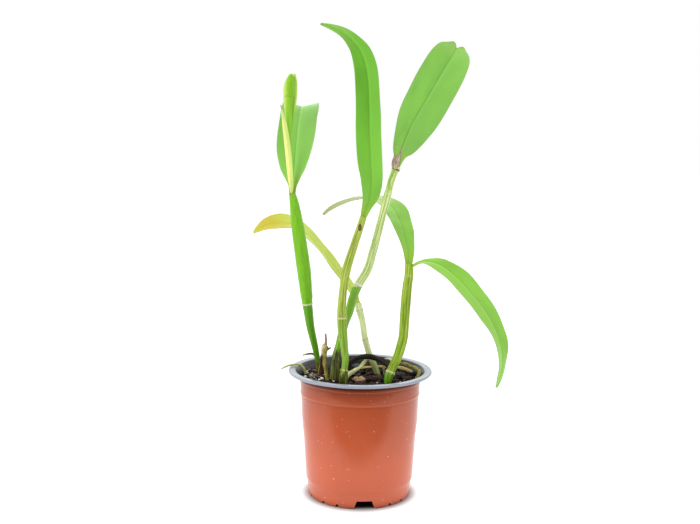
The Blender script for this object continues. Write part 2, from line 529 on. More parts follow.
# Shade of the pot's outside by height, darkest under the rim and below each ridge
WALL_SHADES = (
    (0.0, 0.86), (4.0, 1.0), (34.0, 1.0), (66.0, 0.84), (84.0, 0.72), (86.2, 0.58), (86.9, 0.82),
    (87.6, 0.84), (88.6, 0.70), (95.5, 0.58), (97.4, 0.32), (98.2, 0.62), (98.8, 0.60), (99.8, 0.28),
    (101.6, 0.14), (103.4, 0.05))


def plastic_finish(name, colour, roughness, worn):
    """Glossy moulded plastic; the worn outside has dusty specks and shade under its rim."""
    finish, tree, shader = new_finish(name)
    place = object_place(tree)
    cloud = noise(tree, place, scale=26.0, detail=2.0)
    shade = blend_colour(tree, spread(tree, cloud, 0.3, 0.7), tint(colour, 0.97), tint(colour, 1.03))
    if worn:
        height = part_of(tree, place, "Z")
        ramp = tree.nodes.new("ShaderNodeValToRGB")
        tree.links.new(spread_evenly(tree, height, 0.0, POT_HEIGHT * MM), ramp.inputs["Fac"])
        stops = ramp.color_ramp.elements
        for number, (level, value) in enumerate(WALL_SHADES):
            stop = stops[number] if number < len(stops) else stops.new(1.0)
            stop.position = level / POT_HEIGHT
            stop.color = (value, value, value, 1.0)
        red = blend_colour(tree, ramp.outputs["Color"], tint(colour, 0.0), shade)
        gloss = reckon(tree, 'MULTIPLY', ramp.outputs["Color"], 0.60)
        tree.links.new(gloss, shader.inputs["Specular IOR Level"])
        dust = noise(tree, place, scale=430.0, detail=1.0)
        marks = spread(tree, dust, 0.750, 0.79, 0.0, 0.55)
        shade = blend_colour(tree, marks, red, (0.80, 0.45, 0.33))
    tree.links.new(shade, shader.inputs["Base Color"])
    wear = noise(tree, place, scale=90.0, detail=3.0)
    dull = spread(tree, wear, 0.3, 0.7, roughness - 0.03, roughness + 0.05)
    tree.links.new(dull, shader.inputs["Roughness"])
    dents = noise(tree, stretch(tree, place, (16.0, 16.0, 22.0)), detail=1.0)
    relief(tree, shader, dents, 0.0005, 0.16)
    return finish


# Colour of the thin pale margin round a leaf
LEAF_MARGIN = (0.33, 0.40, 0.20)


def leaf_finish(
        name, colour, halves=0.5, rib_depth=0.3, young=0.0, dull=0.0, yellow_from=None, sheath=False):
    """Waxy leaf skin: fine veins, a grooved midrib, one half paler, a duller underside.

    halves is how much paler the right half is, rib_depth how dark the midrib is, young how
    fresh the base is, dull how faded the far end is, and yellow_from where yellow sets in.
    """
    finish, tree, shader = new_finish(name)
    grain = attribute(tree, "grain")
    across = part_of(tree, grain, "X")
    along = part_of(tree, grain, "Y")
    face = part_of(tree, grain, "Z")
    tip = attribute(tree, "tip", "Fac")
    cloud = noise(tree, stretch(tree, grain, (0.07, 0.028, 1.0)), detail=2.0)
    shade = blend_colour(tree, spread(tree, cloud, 0.3, 0.7), tint(colour, 0.91), tint(colour, 1.08))
    veins = noise(tree, stretch(tree, grain, (1.7, 0.010, 1.0)), detail=3.0, roughness=0.6)
    shade = blend_colour(tree, spread(tree, veins, 0.45, 0.72, 0.0, 0.22), shade, tint(colour, 1.28))
    fine = noise(tree, stretch(tree, grain, (1.1, 0.7, 1.0)), detail=5.0, roughness=0.7)
    shade = blend_colour(tree, spread(tree, fine, 0.56, 0.74, 0.0, 0.20), shade, tint(colour, 0.78))
    sheen = (min(1.0, colour[0] * 1.32), min(1.0, colour[1] * 1.14), min(1.0, colour[2] * 2.0))
    shade = blend_colour(tree, spread(tree, across, 0.1, 0.7, 0.0, halves), shade, sheen)
    beside = reckon(
        tree, 'MULTIPLY', spread(tree, across, 0.2, 0.8), spread(tree, across, 1.2, 3.4, halves, 0.0))
    shade = blend_colour(tree, beside, shade, tint(sheen, 1.12))
    rib = spread(tree, reckon(tree, 'ABSOLUTE', across), 0.15, 0.85, rib_depth, 0.0)
    shade = blend_colour(tree, rib, shade, tint(colour, 0.66))
    edge = attribute(tree, "edge", "Fac")
    shade = blend_colour(tree, spread(tree, edge, 0.95, 1.0, 0.0, 0.55), shade, LEAF_MARGIN)
    shade = blend_colour(tree, spread(tree, along, 20.0, 110.0, young, 0.0), shade, (0.24, 0.58, 0.055))
    shade = blend_colour(tree, spread(tree, along, 1.0, 22.0, 0.50, 0.0), shade, (0.33, 0.48, 0.04))
    shade = blend_colour(tree, spread(tree, tip, 0.70, 0.92, 0.0, 0.40), shade, (0.32, 0.55, 0.13))
    if yellow_from is not None:
        reach = reckon(tree, 'ADD', tip, reckon(tree, 'MULTIPLY', across, -0.011))
        yellow = blend_colour(
            tree, spread(tree, cloud, 0.35, 0.7), (0.56, 0.47, 0.035), (0.54, 0.52, 0.050))
        shade = blend_colour(tree, spread(tree, reach, yellow_from, yellow_from + 0.22), shade, yellow)
        low_edge = reckon(
            tree, 'MULTIPLY', spread(tree, across, 3.0, 8.0), spread(tree, tip, 0.72, 0.86, 0.0, 0.6))
        shade = blend_colour(tree, low_edge, shade, (0.62, 0.38, 0.035))
    if sheath:
        shade = blend_colour(tree, spread(tree, tip, 0.86, 0.98, 0.0, 0.8), shade, (0.42, 0.25, 0.09))
        shade = blend_colour(tree, spread(tree, veins, 0.50, 0.66, 0.0, 0.35), shade, (0.66, 0.58, 0.28))
    under = spread(tree, face, 0.2, -0.6, 0.0, 0.0 if sheath else 0.50)
    shade = blend_colour(tree, under, shade, (0.43, 0.50, 0.22))
    shade = blend_colour(tree, spread(tree, tip, 0.40, 0.56, 0.0, dull), shade, (0.50, 0.55, 0.25))
    shade = blend_colour(tree, spread(tree, tip, 0.965, 1.0, 0.0, 0.7), shade, (0.30, 0.25, 0.10))
    tree.links.new(shade, shader.inputs["Base Color"])
    wax = noise(tree, stretch(tree, grain, (0.35, 0.08, 1.0)), detail=3.0)
    tree.links.new(spread(tree, wax, 0.3, 0.7, 0.38, 0.52), shader.inputs["Roughness"])
    shader.inputs["Specular IOR Level"].default_value = 0.34
    shader.inputs["Subsurface Weight"].default_value = 0.08
    shader.inputs["Subsurface Radius"].default_value = (0.0012, 0.0020, 0.0006)
    relief(tree, shader, veins, 0.00010, 0.5)
    return finish


# Half width and half height, in metres, of the brown mark on the front pseudobulb
MARK_HALF_WIDTH = 0.0015
MARK_HALF_HEIGHT = 0.0030

# Each skin: its colour, that of the lines along it and that of its pale joints; how strong the
# lines and the brown specks are; top and colour of the dark foot; top and colour of the older
# skin below; strength and colour of the long streaks; x and height of a brown mark, if any
SKINS = {
    "bulb_budding": dict(
        main=(0.165, 0.470, 0.002), lines=(0.28, 0.56, 0.05), joint=(0.60, 0.62, 0.36), strength=0.5,
        foot=(109.0, (0.16, 0.14, 0.03)), lower=(158.0, (0.115, 0.36, 0.010)), specks=0.0,
        streaks=(0.40, (0.10, 0.34, 0.002))),
    "bulb_front": dict(
        main=(0.31, 0.45, 0.035), lines=(0.54, 0.60, 0.16), joint=(0.58, 0.54, 0.25), strength=0.75,
        foot=(111.0, (0.20, 0.19, 0.025)), lower=(152.0, (0.24, 0.45, 0.040)), specks=0.8,
        streaks=(0.70, (0.16, 0.17, 0.012)), mark=(-1.5, 225.8)),
    "bulb_middle": dict(
        main=(0.40, 0.59, 0.075), lines=(0.86, 0.90, 0.55), joint=(0.78, 0.78, 0.66), strength=1.0,
        foot=(124.0, (0.17, 0.165, 0.050)), lower=(176.8, (0.155, 0.41, 0.008)), specks=0.3,
        streaks=(0.60, (0.20, 0.40, 0.02))),
    "bulb_two_leaved": dict(
        main=(0.23, 0.40, 0.014), lines=(0.50, 0.62, 0.09), joint=(0.60, 0.62, 0.34), strength=0.9,
        foot=(94.0, (0.10, 0.30, 0.010)), lower=(109.0, (0.13, 0.36, 0.012)), specks=0.45,
        streaks=(0.75, (0.10, 0.15, 0.004))),
    "bulb_rear": dict(
        main=(0.66, 0.76, 0.31), lines=(0.88, 0.90, 0.64), joint=(0.62, 0.60, 0.36), strength=1.0,
        foot=(92.0, (0.16, 0.13, 0.05)), lower=(117.0, (0.36, 0.42, 0.13)), specks=0.3,
        streaks=(0.45, (0.36, 0.48, 0.09))),
}


def brown_mark(tree, middle, ragged):
    """Share and colour of one ragged oval scab on the front of a pseudobulb."""
    place = object_place(tree)
    mark_x, mark_z = (value * MM for value in middle)
    beside = reckon(tree, 'SUBTRACT', part_of(tree, place, "X"), mark_x)
    above = reckon(tree, 'SUBTRACT', part_of(tree, place, "Z"), mark_z)
    beside = reckon(tree, 'POWER', reckon(tree, 'MULTIPLY', beside, 1 / MARK_HALF_WIDTH), 2.0)
    above = reckon(tree, 'POWER', reckon(tree, 'MULTIPLY', above, 1 / MARK_HALF_HEIGHT), 2.0)
    away = reckon(tree, 'ADD', beside, above)
    away = reckon(tree, 'ADD', away, reckon(tree, 'MULTIPLY', ragged, 0.8))
    front = spread(tree, part_of(tree, place, "Y"), -0.0112, -0.0102, 1.0, 0.0)
    share = reckon(tree, 'MULTIPLY', spread(tree, away, 1.1, 1.6, 0.95, 0.0), front)
    scab = blend_colour(tree, spread(tree, away, 0.35, 0.8), (0.20, 0.11, 0.035), (0.075, 0.030, 0.010))
    return share, scab


def bulb_finish(name, skin):
    """Pseudobulb skin: lines along it, ragged joints, brown specks and a darker, older foot."""
    finish, tree, shader = new_finish(name)
    main = skin["main"]
    grain = attribute(tree, "grain")
    height = part_of(tree, object_place(tree), "Z")
    streak = noise(tree, stretch(tree, grain, (1.5, 1.5, 0.016)), detail=2.0, roughness=0.6)
    ragged = noise(tree, stretch(tree, grain, (1.2, 1.2, 0.5)), detail=3.0)
    rough_height = reckon(tree, 'ADD', height, reckon(tree, 'MULTIPLY', ragged, 0.0012))
    level, older = skin["lower"]
    from_here = (level - 0.4) * MM
    to_here = (level + 0.6) * MM
    base = blend_colour(tree, spread(tree, rough_height, from_here, to_here), older, main)
    strength = spread(tree, streak, 0.42, 0.62, 0.0, skin["strength"])
    upper = spread(tree, rough_height, from_here, to_here, 0.12, 1.0)
    shade = blend_colour(tree, reckon(tree, 'MULTIPLY', strength, upper), base, skin["lines"])
    thread = noise(tree, stretch(tree, grain, (3.4, 3.4, 0.022)), detail=2.0)
    shade = blend_colour(
        tree, spread(tree, thread, 0.55, 0.66, 0.0, skin["strength"] * 0.75), shade, tint(main, 0.42))
    patch = noise(tree, stretch(tree, grain, (0.4, 0.4, 0.09)), detail=4.0, roughness=0.6)
    shade = blend_colour(tree, spread(tree, patch, 0.50, 0.70, 0.0, 0.35), shade, tint(older, 0.85))
    lengthwise = noise(tree, stretch(tree, grain, (0.60, 0.60, 0.020)), detail=3.0, roughness=0.65)
    amount, streak_colour = skin["streaks"]
    shade = blend_colour(tree, spread(tree, lengthwise, 0.53, 0.62, 0.0, amount), shade, streak_colour)
    if skin["specks"]:
        dots = noise(tree, stretch(tree, grain, (1.5, 1.5, 0.7)), detail=4.0, roughness=0.7)
        spots = spread(tree, dots, 0.64, 0.70, 0.0, skin["specks"])
        shade = blend_colour(tree, spots, shade, (0.16, 0.07, 0.02))
    torn = spread(tree, ragged, 0.30, 0.5, 0.55, 1.0)
    ring = reckon(tree, 'MULTIPLY', spread(tree, attribute(tree, "joint", "Fac"), 0.25, 0.7), torn)
    shade = blend_colour(tree, ring, shade, skin["joint"])
    scar = reckon(tree, 'MULTIPLY', spread(tree, attribute(tree, "scar", "Fac"), 0.2, 0.7), torn)
    shade = blend_colour(tree, scar, shade, (0.15, 0.07, 0.02))
    if "mark" in skin:
        share, scab = brown_mark(tree, skin["mark"], ragged)
        shade = blend_colour(tree, share, shade, scab)
    level, dark = skin["foot"]
    blotch = noise(tree, stretch(tree, grain, (0.45, 0.45, 0.16)), detail=4.0, roughness=0.65)
    blotched = reckon(tree, 'ADD', height, reckon(tree, 'MULTIPLY', blotch, 0.030))
    foot = spread(tree, blotched, (level + 12.0) * MM, (level + 17.0) * MM, 0.92, 0.0)
    bark = blend_colour(tree, spread(tree, streak, 0.44, 0.60), tint(dark, 0.16), tint(dark, 1.5))
    shade = blend_colour(tree, foot, shade, bark)
    tree.links.new(shade, shader.inputs["Base Color"])
    shader.inputs["Roughness"].default_value = 0.40
    shader.inputs["Specular IOR Level"].default_value = 0.24
    ridges = reckon(tree, 'ADD', streak, reckon(tree, 'MULTIPLY', thread, 0.6))
    relief(tree, shader, ridges, 0.00030, 0.8)
    return finish


# Height of the crease round the front bud, and half its width, in metres
BUD_CREASE = 0.3307
BUD_CREASE_HALF = 0.0008


def bud_finish(colour):
    """Bud skin: paler at the left, a dark seam, a crease round the front bud and a fresh stalk."""
    finish, tree, shader = new_finish("bud_finish", 0.36)
    grain = attribute(tree, "grain")
    place = object_place(tree)
    x = part_of(tree, place, "X")
    height = part_of(tree, place, "Z")
    lines = noise(tree, stretch(tree, grain, (0.7, 0.7, 0.02)), detail=3.0)
    shade = blend_colour(tree, spread(tree, lines, 0.35, 0.65), tint(colour, 0.88), tint(colour, 1.10))
    wave = reckon(tree, 'ADD', x, reckon(tree, 'MULTIPLY', lines, 0.0016))
    left_side = spread(tree, wave, -0.0634, -0.0594, 0.9, 0.0)
    shade = blend_colour(tree, left_side, shade, (0.50, 0.66, 0.14))
    seam = reckon(
        tree, 'MULTIPLY', spread(tree, wave, -0.0590, -0.0570), spread(tree, x, -0.0556, -0.0551, 1.0, 0.0))
    shade = blend_colour(tree, reckon(tree, 'MULTIPLY', seam, 0.8), shade, (0.18, 0.42, 0.0))
    second = spread(tree, part_of(tree, place, "Y"), 0.0, 0.0012, 0.0, 0.9)
    shade = blend_colour(tree, second, shade, (0.44, 0.62, 0.06))
    below = spread(tree, height, BUD_CREASE - BUD_CREASE_HALF, BUD_CREASE)
    above = spread(tree, height, BUD_CREASE, BUD_CREASE + BUD_CREASE_HALF, 0.45, 0.0)
    crease = reckon(tree, 'MULTIPLY', below, above)
    crease = reckon(tree, 'MULTIPLY', crease, spread(tree, x, -0.0592, -0.0580, 1.0, 0.0))
    shade = blend_colour(tree, crease, shade, (0.17, 0.26, 0.02))
    stalk = spread(tree, height, 0.310, 0.326, 0.7, 0.0)
    shade = blend_colour(tree, stalk, shade, (0.24, 0.56, 0.035))
    tree.links.new(shade, shader.inputs["Base Color"])
    shader.inputs["Specular IOR Level"].default_value = 0.4
    shader.inputs["Subsurface Weight"].default_value = 0.08
    shader.inputs["Subsurface Radius"].default_value = (0.002, 0.003, 0.001)
    relief(tree, shader, lines, 0.0002, 0.5)
    return finish


ROOT_COLOURS = {
    "pale": ((0.80, 0.84, 0.42), (0.58, 0.58, 0.24)),
    "fresh": ((0.62, 0.68, 0.24), (0.50, 0.54, 0.15)),
    "white": ((0.78, 0.76, 0.58), (0.56, 0.50, 0.27)),
    "tan": ((0.70, 0.60, 0.29), (0.52, 0.33, 0.10)),
    "olive": ((0.38, 0.37, 0.075), (0.15, 0.105, 0.025)),
    "dark": ((0.008, 0.0045, 0.004), (0.032, 0.016, 0.012)),
}


def root_finish(name, colours, scale=1.0, roughness=0.7):
    """Dry velvety root skin: patches, short cracks and grit."""
    first, second = colours
    finish, tree, shader = new_finish(name, roughness)
    grain = attribute(tree, "grain")
    coarse = stretch(tree, grain, (0.5 * scale, 0.5 * scale, 0.22 * scale))
    patch = noise(tree, coarse, detail=5.0, roughness=0.65)
    shade = blend_colour(tree, spread(tree, patch, 0.36, 0.64), second, first)
    cracks = noise(tree, stretch(tree, grain, (3.0, 3.0, 0.5)), detail=3.0)
    shade = blend_colour(tree, spread(tree, cracks, 0.58, 0.72, 0.0, 0.6), shade, tint(second, 0.5))
    tree.links.new(shade, shader.inputs["Base Color"])
    shader.inputs["Specular IOR Level"].default_value = 0.22
    relief(tree, shader, reckon(tree, 'ADD', patch, cracks), 0.00045, 0.9)
    return finish


def husk_finish():
    """Spent shoot: pink tip, beige husk below it, dark brown body and a black spur."""
    finish, tree, shader = new_finish("spent_shoot_finish", 0.7)
    grain = attribute(tree, "grain")
    place = object_place(tree)
    streak = noise(tree, stretch(tree, grain, (1.4, 1.4, 0.10)), detail=4.0, roughness=0.65)
    height = reckon(tree, 'ADD', part_of(tree, place, "Z"), reckon(tree, 'MULTIPLY', streak, 0.004))
    body = blend_colour(tree, spread(tree, streak, 0.42, 0.64), (0.016, 0.007, 0.006), (0.12, 0.055, 0.032))
    husk = blend_colour(tree, spread(tree, streak, 0.34, 0.54), (0.24, 0.13, 0.060), (0.80, 0.68, 0.42))
    tip = blend_colour(tree, spread(tree, streak, 0.38, 0.62), (0.20, 0.07, 0.055), (0.62, 0.36, 0.30))
    shade = blend_colour(tree, spread(tree, height, 0.1190, 0.1212), body, husk)
    shade = blend_colour(tree, spread(tree, height, 0.1278, 0.1292), shade, tip)
    spur = spread(tree, part_of(tree, place, "X"), -0.0280, -0.0272)
    shade = blend_colour(tree, spur, shade, (0.012, 0.010, 0.009))
    tree.links.new(shade, shader.inputs["Base Color"])
    shader.inputs["Specular IOR Level"].default_value = 0.2
    relief(tree, shader, streak, 0.0006, 0.9)
    return finish


def scrap_finish():
    """Dry papery sheath: pinkish beige with brown torn edges and veins."""
    finish, tree, shader = new_finish("dried_sheath_finish", 0.7)
    grain = attribute(tree, "grain")
    veins = noise(tree, stretch(tree, grain, (2.2, 0.25, 1.0)), detail=4.0, roughness=0.65)
    shade = blend_colour(tree, spread(tree, veins, 0.36, 0.56), (0.17, 0.085, 0.06), (0.66, 0.52, 0.42))
    edge = attribute(tree, "edge", "Fac")
    shade = blend_colour(tree, spread(tree, edge, 0.72, 0.98, 0.0, 0.85), shade, (0.13, 0.060, 0.035))
    tree.links.new(shade, shader.inputs["Base Color"])
    shader.inputs["Specular IOR Level"].default_value = 0.25
    relief(tree, shader, veins, 0.0004, 0.9)
    return finish


def chip_finish(name, first, second):
    """A single chip: grain along it and darker hollows."""
    finish, tree, shader = new_finish(name, 0.75)
    place = object_place(tree)
    rough = noise(tree, place, scale=380.0, detail=4.0, roughness=0.65)
    hollow = noise(tree, stretch(tree, place, (210.0, 520.0, 520.0)), detail=3.0)
    shade = blend_colour(tree, spread(tree, rough, 0.38, 0.60), second, first)
    shade = blend_colour(tree, spread(tree, hollow, 0.56, 0.68, 0.0, 0.8), shade, tint(second, 0.5))
    tree.links.new(shade, shader.inputs["Base Color"])
    shader.inputs["Specular IOR Level"].default_value = 0.2
    relief(tree, shader, rough, 0.0010, 0.9)
    return finish


def bark_finish(settings):
    """Damp bark of many tones: each chip has its own, with grain and pale flecks."""
    finish, tree, shader = new_finish("bark_mix_finish", 0.72)
    tone = attribute(tree, "tone", "Fac")
    place = object_place(tree)
    rough = noise(tree, place, scale=420.0, detail=5.0, roughness=0.7)
    fleck = noise(tree, place, scale=1500.0, detail=2.0)
    share = reckon(tree, 'ADD', tone, reckon(tree, 'MULTIPLY', rough, 0.45))
    shade = blend_colour(
        tree, spread(tree, share, 0.30, 1.15), tuple(settings.dark_bark), tuple(settings.brown_bark))
    shade = blend_colour(tree, spread(tree, tone, 0.80, 0.84, 0.0, 0.8), shade, (0.13, 0.062, 0.038))
    shade = blend_colour(tree, spread(tree, fleck, 0.68, 0.76, 0.0, 0.35), shade, (0.15, 0.10, 0.07))
    tree.links.new(shade, shader.inputs["Base Color"])
    tree.links.new(spread(tree, rough, 0.3, 0.7, 0.50, 0.95), shader.inputs["Roughness"])
    shader.inputs["Specular IOR Level"].default_value = 0.15
    relief(tree, shader, rough, 0.0011, 1.0)
    return finish


def add_piece(name, shape, finishes, node=None):
    """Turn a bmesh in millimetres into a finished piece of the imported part."""
    bmesh.ops.scale(shape, vec=(MM, MM, MM), verts=shape.verts)
    bmesh.ops.recalc_face_normals(shape, faces=shape.faces)
    mesh = bpy.data.meshes.new(name)
    shape.to_mesh(mesh)
    shape.free()
    mesh.shade_smooth()
    mesh.set_sharp_from_angle(angle=SHARP_EDGE)
    for finish in finishes:
        mesh.materials.append(finish)
    piece = bpy.data.objects.new(name, mesh)
    bpy.context.scene.collection.objects.link(piece)
    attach(piece, BODY)
    if node:
        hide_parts(node)
    return piece


def smooth_knots(knots, per_span):
    """Points on a smooth curve through the knots, which may hold any numbers."""
    points = []
    last = len(knots) - 1
    for index in range(last):
        before = knots[max(index - 1, 0)]
        here = knots[index]
        there = knots[index + 1]
        after = knots[min(index + 2, last)]
        for step in range(per_span):
            t = step / per_span
            points.append(tuple(
                0.5 * (2 * b + (c - a) * t + (2 * a - 5 * b + 4 * c - d) * t * t
                       + (3 * b - a - 3 * c + d) * t ** 3)
                for a, b, c, d in zip(before, here, there, after)
            ))
    points.append(tuple(float(value) for value in knots[last]))
    return points


# Heights of the extra points round a joint, and how near to them no other point stays
RING_OFFSETS = (-1.6, -1.2, -0.9, -0.6, -0.3, 0.0, 0.3, 0.6, 0.9, 1.2, 1.6)
RING_SPACE = 0.12


def add_joint_points(points, joints):
    """The line's points with closer ones round each joint, so that its ring comes out crisp."""
    added = []
    for level, _, _ in joints:
        for offset in RING_OFFSETS:
            height = level + offset
            for low, high in zip(points, points[1:]):
                if low[2] < height <= high[2]:
                    t = (height - low[2]) / (high[2] - low[2])
                    added.append(tuple(a + (b - a) * t for a, b in zip(low, high)))
                    break
    if not added:
        return points
    kept = [point for point in points if all(abs(point[2] - other[2]) > RING_SPACE for other in added)]
    return sorted(kept + added, key=lambda point: point[2])


def draw_out(shape, rings, corners, marks):
    """Draw one closed body out of a ring, ring after ring, and mark every corner.

    Each ring is a list of places; marks are pairs of a layer and its values for every ring.
    """
    ring = bmesh.ops.create_circle(shape, cap_ends=True, segments=corners, radius=1.0)["verts"]
    face = ring[0].link_faces[0]
    for number, places in enumerate(rings):
        if number > 0:
            order = {tuple(vertex.co): index for index, vertex in enumerate(ring)}
            face = bmesh.ops.extrude_discrete_faces(shape, faces=[face])["faces"][0]
            ring = sorted(face.verts, key=lambda vertex: order[tuple(vertex.co)])
        for vertex, place in zip(ring, places):
            vertex.co = place
        for layer, values in marks:
            for vertex, value in zip(ring, values[number]):
                vertex[layer] = value
    edges = [edge for edge in shape.edges if edge.is_boundary]
    bmesh.ops.holes_fill(shape, edges=edges)


def line_frames(points):
    """Place, side way and other way at every point of a line, with no twist between them."""
    places = [Vector(point[:3]) for point in points]
    last = len(places) - 1
    side_way = None
    frames = []
    for index, place in enumerate(places):
        along = (places[min(index + 1, last)] - places[max(index - 1, 0)]).normalized()
        if side_way is None:
            side_way = along.orthogonal().normalized()
        side_way = (side_way - along * side_way.dot(along)).normalized()
        frames.append((place, side_way, along.cross(side_way)))
    return frames


def lengths_along(points):
    """How far along the line each of its points lies."""
    total = 0.0
    lengths = [0.0]
    for first, second in zip(points, points[1:]):
        total += (Vector(second[:3]) - Vector(first[:3])).length
        lengths.append(total)
    return lengths


def mark_layers(shape):
    """The layers of marks that the finishes read, made once for each shape."""
    vectors = shape.verts.layers.float_vector
    numbers = shape.verts.layers.float
    layers = {"grain": vectors.get("grain") or vectors.new("grain")}
    for name in ("joint", "scar", "edge", "tip"):
        layers[name] = numbers.get(name) or numbers.new(name)
    return layers


def grow_tube(shape, knots, corners=28, per_span=10, joints=(), ribs=0, depth=0.0, lumps=0.0, seed=0):
    """A round shoot or root with ribs, lumps and swollen joints."""
    layers = mark_layers(shape)
    points = add_joint_points(smooth_knots(knots, per_span), joints)
    lengths = lengths_along(points)
    draw = random.Random(seed)
    phases = [draw.uniform(0.0, math.tau) for _ in range(4)]
    rings = []
    grains = []
    joint_marks = []
    scar_marks = []
    for index, (place, side_way, other_way) in enumerate(line_frames(points)):
        height = points[index][2]
        swell = sum(size * math.exp(-((height - level) / 0.75) ** 2) for level, size, _ in joints)
        near = [(math.exp(-((height - level) / 0.85) ** 2), brown) for level, _, brown in joints]
        joint_marks.append([max([mark * (1.0 - brown) for mark, brown in near] or [0.0])] * corners)
        scar_marks.append([max([mark * brown for mark, brown in near] or [0.0])] * corners)
        base = max(points[index][3], 0.15)
        ring = []
        grain = []
        for corner in range(corners):
            turn = corner * math.tau / corners
            rib = depth * (1.0 - 2.0 * abs(math.sin(ribs * turn / 2 + phases[0])) ** 0.7) if ribs else 0.0
            wobble = math.sin(2 * turn + lengths[index] / 6.0 + phases[1])
            wobble += math.sin(3 * turn - lengths[index] / 3.1 + phases[2])
            wobble += math.sin(lengths[index] / 1.9 + turn + phases[3])
            radius = base * (1.0 + lumps * wobble / 3.0) + rib + swell
            sideways = side_way * (radius * math.cos(turn))
            ring.append(place + sideways + other_way * (radius * math.sin(turn)))
            grain.append(Vector((base * math.cos(turn), base * math.sin(turn), lengths[index])))
        rings.append(ring)
        grains.append(grain)
    draw_out(shape, rings, corners, (
        (layers["grain"], grains), (layers["joint"], joint_marks), (layers["scar"], scar_marks)))


def grow_blade(shape, plan, thickness, groove, wave, face_corners=27, per_span=10, seed=0):
    """A leaf: a lens-shaped section with a grooved midrib, drawn along the midrib's line."""
    layers = mark_layers(shape)
    points = smooth_knots(plan["knots"], per_span)
    lengths = lengths_along(points)
    fold = math.radians(plan["fold"])
    draw = random.Random(seed)
    phase = draw.uniform(0.0, math.tau)
    shares = []
    for index in range(face_corners):
        x = -1.0 + 2.0 * index / (face_corners - 1)
        shares.append((math.copysign(abs(x) ** 1.2, x), 1.0))
    shares += [(share, -1.0) for share, _ in reversed(shares)]
    corners = len(shares)
    rings = []
    grains = []
    edges = []
    tips = []
    last = len(points) - 1
    for index, (x, y, z, half, compass, height) in enumerate(points):
        before = Vector(points[max(index - 1, 0)][:3])
        after = Vector(points[min(index + 1, last)][:3])
        along = (after - before).normalized()
        compass = math.radians(compass)
        height = math.radians(height)
        facing = Vector((
            math.cos(compass) * math.cos(height), math.sin(compass) * math.cos(height), math.sin(height)))
        facing = (facing - along * facing.dot(along)).normalized()
        side_way = along.cross(facing)
        centre = Vector((x, y, z))
        tip = index / last
        half = max(half, 0.5)
        ring = []
        grain = []
        for share, face in shares:
            wide = abs(share)
            rise = half * wide ** 1.25 * math.sin(fold)
            thick = thickness * (0.30 + 0.70 * math.sqrt(max(0.0, 1.0 - wide * wide)))
            dip = groove * math.exp(-((share * half) / 0.8) ** 2)
            keel = 1.4 * groove * math.exp(-((share * half) / 1.3) ** 2)
            up = rise + face * thick / 2 - (dip if face > 0 else keel)
            ripple = math.sin(lengths[index] / 9.0 + phase)
            ripple += 0.6 * math.sin(lengths[index] / 4.7 + 2 * phase + share)
            up += wave * wide ** 3 * ripple * min(1.0, half / 8.0)
            forward = plan["lobe"] * tip ** 8 * math.sin(math.pi * min(wide * 1.1, 1.0))
            ring.append(centre + side_way * (share * half * math.cos(fold)) + facing * up + along * forward)
            grain.append(Vector((share * half, lengths[index], face)))
        rings.append(ring)
        grains.append(grain)
        edges.append([abs(share) for share, _ in shares])
        tips.append([tip] * corners)
    draw_out(shape, rings, corners, (
        (layers["grain"], grains), (layers["edge"], edges), (layers["tip"], tips)))


def turned(profile, steps):
    """A closed profile of radius and height turned round the pot's axis."""
    shape = bmesh.new()
    verts = [shape.verts.new((radius, 0.0, height)) for radius, height in profile]
    edges = [shape.edges.new(pair) for pair in zip(verts, verts[1:])]
    bmesh.ops.spin(
        shape, geom=verts + edges, cent=(0, 0, 0), axis=(0, 0, 1), angle=math.tau, steps=steps,
        use_merge=True)
    bmesh.ops.remove_doubles(shape, verts=shape.verts, dist=0.001)
    return shape


def wedge(shape, angle, half_low, half_top, height):
    """One drainage notch's wedge through the foot of the pot's wall."""
    slope = (half_low - half_top) / height
    corners = [
        (-half_low - slope, NOTCH_CUT_BELOW), (half_low + slope, NOTCH_CUT_BELOW),
        (half_top, height), (-half_top, height)]
    verts = [shape.verts.new((NOTCH_CUT_INSIDE, x, z)) for x, z in corners]
    face = shape.faces.new(verts)
    grown = bmesh.ops.extrude_face_region(shape, geom=[face])
    far = [item for item in grown["geom"] if isinstance(item, bmesh.types.BMVert)]
    bmesh.ops.translate(shape, vec=(NOTCH_CUT_OUTSIDE - NOTCH_CUT_INSIDE, 0, 0), verts=far)
    bmesh.ops.rotate(shape, cent=(0, 0, 0), matrix=Matrix.Rotation(angle, 3, 'Z'), verts=verts + far)


def cut_away(piece, cutter_shape):
    """Cut the shape out of the piece for good."""
    bmesh.ops.scale(cutter_shape, vec=(MM, MM, MM), verts=cutter_shape.verts)
    bmesh.ops.recalc_face_normals(cutter_shape, faces=cutter_shape.faces)
    mesh = bpy.data.meshes.new("cutter")
    cutter_shape.to_mesh(mesh)
    cutter_shape.free()
    cutter = bpy.data.objects.new("cutter", mesh)
    bpy.context.scene.collection.objects.link(cutter)
    cut = piece.modifiers.new("cut", 'BOOLEAN')
    cut.operation = 'DIFFERENCE'
    cut.object = cutter
    cut.solver = 'EXACT'
    view = bpy.context.evaluated_depsgraph_get()
    made = bpy.data.meshes.new_from_object(piece.evaluated_get(view))
    piece.modifiers.clear()
    piece.data = made
    bpy.data.objects.remove(cutter, do_unlink=True)
    made.set_sharp_from_angle(angle=SHARP_EDGE)


def mix_height(x, y):
    """Height of the mix's surface: mounds round the shoots and small humps between them."""
    level = MIX_LEVEL + 0.7 * math.sin(x / 4.3 + 0.6) * math.cos(y / 5.1)
    for centre_x, centre_y, reach, rise in MIX_MOUNDS:
        away = (x - centre_x) ** 2 + (y - centre_y) ** 2
        level += rise * math.exp(-away / (2 * reach * reach))
    return level


